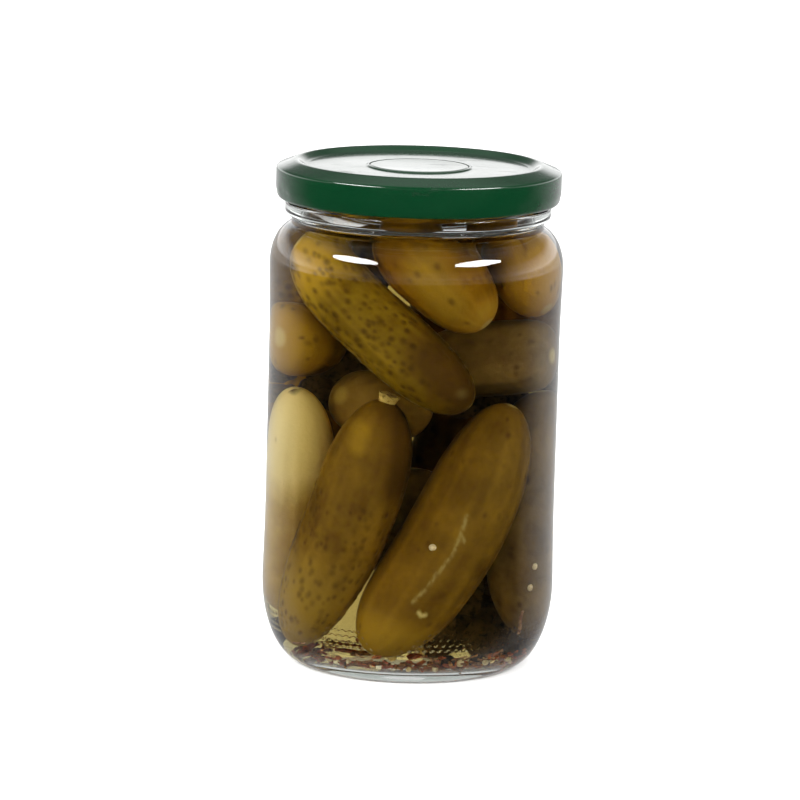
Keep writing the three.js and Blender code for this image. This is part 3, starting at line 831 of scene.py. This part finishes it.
def seed(name, centre, radius, squash, wrinkle, offset, fineness=4):
    """A small round seed with a flattened side and a wrinkled or smooth coat."""
    bpy.ops.object.select_all(action="DESELECT")
    bpy.ops.mesh.primitive_ico_sphere_add(subdivisions=fineness, radius=radius * MM)
    piece = bpy.context.object
    piece.name = name
    points = points_of(piece)
    points *= (1 + wrinkle * wave(points / (radius * MM) * 1.8, offset))[:, None]
    points[:, 2] *= squash
    points += np.array(centre) * MM
    move_points(piece, points)
    smooth(piece, 80)
    return piece


def flake(name, centre, turn, length, width, curl, offset, cells=(9, 7)):
    """A torn curled scrap of dried skin, cut from a plate and given its thickness."""
    bpy.ops.object.select_all(action="DESELECT")
    bpy.ops.mesh.primitive_grid_add(x_subdivisions=cells[0], y_subdivisions=cells[1], size=1)
    piece = bpy.context.object
    piece.name = name
    points = points_of(piece)
    edge = np.maximum(np.abs(points[:, 0]), np.abs(points[:, 1])) * 2
    ragged = 1 - 0.25 * edge * np.abs(wave(points * 3, offset))
    round_off = 1 - 0.18 * (np.abs(points[:, 0] * 2) * np.abs(points[:, 1] * 2))
    points[:, 0] *= length * MM * ragged * round_off
    points[:, 1] *= width * MM * ragged * round_off
    points[:, 2] = curl * MM * ((points[:, 1] / (width * MM) * 2) ** 2 - 0.4)
    points[:, 2] += 0.15 * MM * wave(points / MM * 1.2, offset + 5)
    move_points(piece, points)
    thick = piece.modifiers.new("skin", "SOLIDIFY")
    thick.thickness = 0.3 * MM
    thick.offset = 0
    select_only(piece)
    bpy.ops.object.modifier_apply(modifier="skin")
    piece.matrix_world = Matrix.Translation(Vector(centre) * MM) @ Euler(turn).to_matrix().to_4x4()
    settle(piece)
    smooth(piece, 50)
    return piece


def stalk(name, start, end, radius, offset, sides=10, cuts=3):
    """A dry stalk: a thin crooked rod, thicker at one end."""
    start, end = Vector(start) * MM, Vector(end) * MM
    bpy.ops.object.select_all(action="DESELECT")
    bpy.ops.mesh.primitive_cylinder_add(vertices=sides, radius=radius * MM, depth=(end - start).length)
    piece = bpy.context.object
    piece.name = name
    into_edit(piece)
    bpy.ops.mesh.select_all(action="SELECT")
    bpy.ops.mesh.bisect(plane_co=(0, 0, 0), plane_no=(0, 0, 1))
    bpy.ops.mesh.select_all(action="SELECT")
    bpy.ops.mesh.subdivide(number_cuts=cuts)
    out_of_edit()
    points = points_of(piece)
    taper = 1 + 0.35 * points[:, 2] / (end - start).length
    bow = 0.3 * MM * np.sin(points[:, 2] / MM * 1.1 + offset)
    points[:, 0] = points[:, 0] * taper + bow
    points[:, 1] *= taper
    move_points(piece, points)
    piece.matrix_world = Matrix.Translation((start + end) / 2) @ (end - start).to_track_quat("Z", "Y").to_matrix().to_4x4()
    settle(piece)
    smooth(piece, 50)
    return piece


for i, centre in enumerate(MUSTARD_SEEDS, 1):
    piece = seed(f"mustard_seed_{i:02d}_coat", centre, 1.1, 0.92, 0.05, i)
    dress(piece, MUSTARD, "jar", "mustard_seed", f"mustard_seed_{i:02d}")
for i, centre in enumerate(PEPPERCORNS, 1):
    piece = seed(f"peppercorn_{i:02d}_wrinkled", centre, 2.0, 0.96, 0.16, i * 3)
    dress(piece, PEPPER, "jar", "peppercorn", f"peppercorn_{i:02d}")
for i, (x, y, z, turn) in enumerate(CHILI_FLAKES, 1):
    piece = flake(f"chili_flake_{i:02d}_curled", (x, y, z), (0.15, -0.1, math.radians(turn)), 5, 3.2, 0.7, i)
    dress(piece, CHILI, "jar", "chili", f"chili_flake_{i:02d}")
for i, (start, end) in enumerate(DRY_STALKS, 1):
    piece = stalk(f"dry_stalk_{i:02d}_fibres", start, end, 0.62, i)
    dress(piece, STALK, "jar", "dry_stalk", f"dry_stalk_{i:02d}")


def heel_height(r):
    """Height of the inside of the glass at a radius, in mm."""
    if r <= FLOOR_R:
        return FLOOR_Z + 0.4
    return HEEL_TOP_Z - (HEEL_TOP_Z - FLOOR_Z) * math.sqrt(1 - ((r - FLOOR_R) / (BORE_R - FLOOR_R)) ** 2)


def scatter(name, material, slot, count, seed_value, make):
    """A drift of loose bits over the floor of the jar, joined into one piece."""
    dice = random.Random(seed_value)
    bits = []
    for i in range(count):
        r = math.sqrt(dice.uniform(0.25, 1)) * 36
        angle = dice.uniform(0, 2 * math.pi) if i % 2 else dice.uniform(-2.2, 0.5)
        centre = (r * math.cos(angle), r * math.sin(angle), heel_height(r) + dice.uniform(0.7, 1.6))
        bits.append(make(f"{name}_{i}", centre, dice, i))
    select_only(*bits)
    bpy.ops.object.join()
    piece = bpy.context.object
    piece.name = name
    dress(piece, material, "jar", slot)


def loose_flake(name, centre, dice, i):
    turn = (dice.uniform(-0.5, 0.5), dice.uniform(-0.5, 0.5), dice.uniform(0, 6.28))
    return flake(name, centre, turn, dice.uniform(1.6, 4.4), dice.uniform(1.0, 2.2), dice.uniform(0.1, 0.5), i, (4, 3))


def loose_stalk(name, centre, dice, i):
    angle = dice.uniform(0, 6.28)
    reach = Vector((math.cos(angle), math.sin(angle), dice.uniform(-0.15, 0.3))) * dice.uniform(1.2, 3.2)
    return stalk(name, Vector(centre) - reach, Vector(centre) + reach, dice.uniform(0.2, 0.42), i, 6, 1)


def loose_seed(name, centre, dice, i):
    return seed(name, centre, dice.uniform(0.75, 1.05), 0.9, 0.05, i, 2)


scatter("loose_chili_bits", CHILI, "chili", 170, 41, loose_flake)
scatter("loose_stalk_bits", STALK, "dry_stalk", 110, 42, loose_stalk)
scatter("loose_seeds", MUSTARD, "mustard_seed", 14, 43, loose_seed)

# dark scraps stand behind the gherkins, low in the jar and between its two layers: painted shade, a dark filler put
# where the jar holds only shadow, so that no light shows through the gaps
dice = random.Random(44)
leaves = []
for i in range(72):
    low = i < 36
    centre = (
        dice.uniform(-4, 33) if low else dice.uniform(-30, 33),
        dice.uniform(9, 17) if low else dice.uniform(6, 20),
        dice.uniform(9, 25) if low else dice.uniform(79, 94),
    )
    if math.hypot(centre[0], centre[1]) > 33:
        continue
    turn = (math.radians(90) + dice.uniform(-0.4, 0.4), dice.uniform(-1.5, 1.5), dice.uniform(-0.5, 0.5))
    leaves.append(flake(f"shade_scrap_{i}", centre, turn, dice.uniform(9, 15), dice.uniform(6, 10), 0.8, i, (6, 4)))
select_only(*leaves)
bpy.ops.object.join()
leaves = bpy.context.object
leaves.name = "shade_filler_scraps"
# the dark brown of these scraps is painted shade, not the colour of anything in the jar
dress(leaves, dry_spice("dark shade filler", paint(100, 80, 56), paint(120, 98, 70), paint(68, 54, 38), 260, 0.7), "jar", "dry_stalk")

# ---------- floor and light ----------
bpy.ops.object.select_all(action="DESELECT")
bpy.ops.mesh.primitive_plane_add(size=12)
floor = bpy.context.object
floor.name = "studio_floor"
floor.data.materials.append(Finish("studio floor", Base_Color=(0.86, 0.86, 0.86, 1), Roughness=0.9).material)
floor.visible_glossy = False
floor.visible_transmission = False


def softbox(name, place, aim, width, height, power):
    light = bpy.data.lights.new(name, "AREA")
    light.shape = "ELLIPSE"
    light.size = width
    light.size_y = height
    light.energy = power
    made = bpy.data.objects.new(name, light)
    bpy.context.collection.objects.link(made)
    made.visible_camera = False
    made.visible_transmission = False
    made.matrix_world = Matrix.Translation(place) @ (
        (Vector(aim) - Vector(place)).to_track_quat("-Z", "Y").to_matrix().to_4x4()
    )
    return made


softbox("softbox left", Vector((-1.15, -0.83, 0.98)), (0, 0, 0.1), 1.15, 0.36, 30)
softbox("softbox right", Vector((1.15, -0.83, 0.98)), (0, 0, 0.1), 1.15, 0.36, 30)


def studio_world():
    """A white surround, brighter from the upper left, which gloss sees as a pale band over a darker floor."""
    world = bpy.data.worlds.new("studio")
    world.use_nodes = True
    tree = world.node_tree
    background = tree.nodes["Background"]
    background.inputs["Color"].default_value = (1, 1, 1, 1)

    def add(kind, settings=None, **inputs):
        made = tree.nodes.new(kind)
        for key, value in (settings or {}).items():
            setattr(made, key, value)
        for socket, value in inputs.items():
            made.inputs[socket.replace("_", " ")].default_value = value
        return made

    path = tree.nodes.new("ShaderNodeLightPath")
    glossy = add("ShaderNodeMath", {"operation": "GREATER_THAN"})
    tree.links.new(path.outputs["Glossy Depth"], glossy.inputs[0])
    glossy.inputs[1].default_value = 0.5
    straight = add("ShaderNodeMath", {"operation": "LESS_THAN"})
    tree.links.new(path.outputs["Diffuse Depth"], straight.inputs[0])
    straight.inputs[1].default_value = 0.5
    both = add("ShaderNodeMath", {"operation": "MULTIPLY"})
    tree.links.new(glossy.outputs[0], both.inputs[0])
    tree.links.new(straight.outputs[0], both.inputs[1])
    direction = tree.nodes.new("ShaderNodeTexCoord")
    height = tree.nodes.new("ShaderNodeSeparateXYZ")
    tree.links.new(direction.outputs["Generated"], height.inputs[0])
    band = tree.nodes.new("ShaderNodeValToRGB")
    tree.links.new(height.outputs["Z"], band.inputs["Fac"])
    while len(band.color_ramp.elements) < len(GLOSS_BAND):
        band.color_ramp.elements.new(0.5)
    for element, (place, value) in zip(band.color_ramp.elements, GLOSS_BAND):
        element.position = place
        element.color = (value, value, value, 1)
    below = add("ShaderNodeMath", {"operation": "LESS_THAN"})
    tree.links.new(height.outputs["Z"], below.inputs[0])
    below.inputs[1].default_value = 0.02
    behind = add("ShaderNodeMapRange", From_Min=0.1, From_Max=0.95, To_Min=0.0, To_Max=GLOSS_BEHIND)
    tree.links.new(height.outputs["Y"], behind.inputs["Value"])
    floor_glow = add("ShaderNodeMath", {"operation": "MULTIPLY"})
    tree.links.new(below.outputs[0], floor_glow.inputs[0])
    tree.links.new(behind.outputs["Result"], floor_glow.inputs[1])
    front = add("ShaderNodeMapRange", From_Min=-0.3, From_Max=0.3, To_Min=GLOSS_FRONT, To_Max=1.0)
    tree.links.new(height.outputs["Y"], front.inputs["Value"])
    shaded = add("ShaderNodeMath", {"operation": "MULTIPLY"})
    tree.links.new(band.outputs["Color"], shaded.inputs[0])
    tree.links.new(front.outputs["Result"], shaded.inputs[1])
    gloss = add("ShaderNodeMath", {"operation": "MAXIMUM"})
    tree.links.new(shaded.outputs[0], gloss.inputs[0])
    tree.links.new(floor_glow.outputs[0], gloss.inputs[1])
    key = add("ShaderNodeVectorMath", {"operation": "DOT_PRODUCT"})
    tree.links.new(direction.outputs["Generated"], key.inputs[0])
    key.inputs[1].default_value = Vector(KEY_FROM).normalized()
    lit = add("ShaderNodeMapRange", From_Min=-0.4, From_Max=1.0, To_Min=DIFFUSE_LOW, To_Max=DIFFUSE_KEY)
    tree.links.new(key.outputs["Value"], lit.inputs["Value"])
    plain = add("ShaderNodeMix")
    tree.links.new(straight.outputs[0], plain.inputs[0])
    tree.links.new(lit.outputs["Result"], plain.inputs[2])
    plain.inputs[3].default_value = SURROUND
    strength = add("ShaderNodeMix")
    tree.links.new(both.outputs[0], strength.inputs[0])
    tree.links.new(plain.outputs[0], strength.inputs[2])
    tree.links.new(gloss.outputs[0], strength.inputs[3])
    tree.links.new(strength.outputs[0], background.inputs["Strength"])
    bpy.context.scene.world = world


SURROUND = 1.0
GLOSS_BAND = ((0.0, 0.03), (0.06, 1.8), (0.22, 1.4), (0.34, 0.2), (0.6, 0.16), (0.8, 0.45))  # height of a direction, and how bright it is
GLOSS_FRONT = 0.15  # share of the band that gloss sees in front of the jar
GLOSS_BEHIND = 0.75  # brightness of the floor behind the jar, as gloss sees it
KEY_FROM = (-0.5, -0.6, 0.65)
DIFFUSE_LOW = 0.8
DIFFUSE_KEY = 2.9
studio_world()
bpy.context.scene.view_settings.view_transform = "Standard"
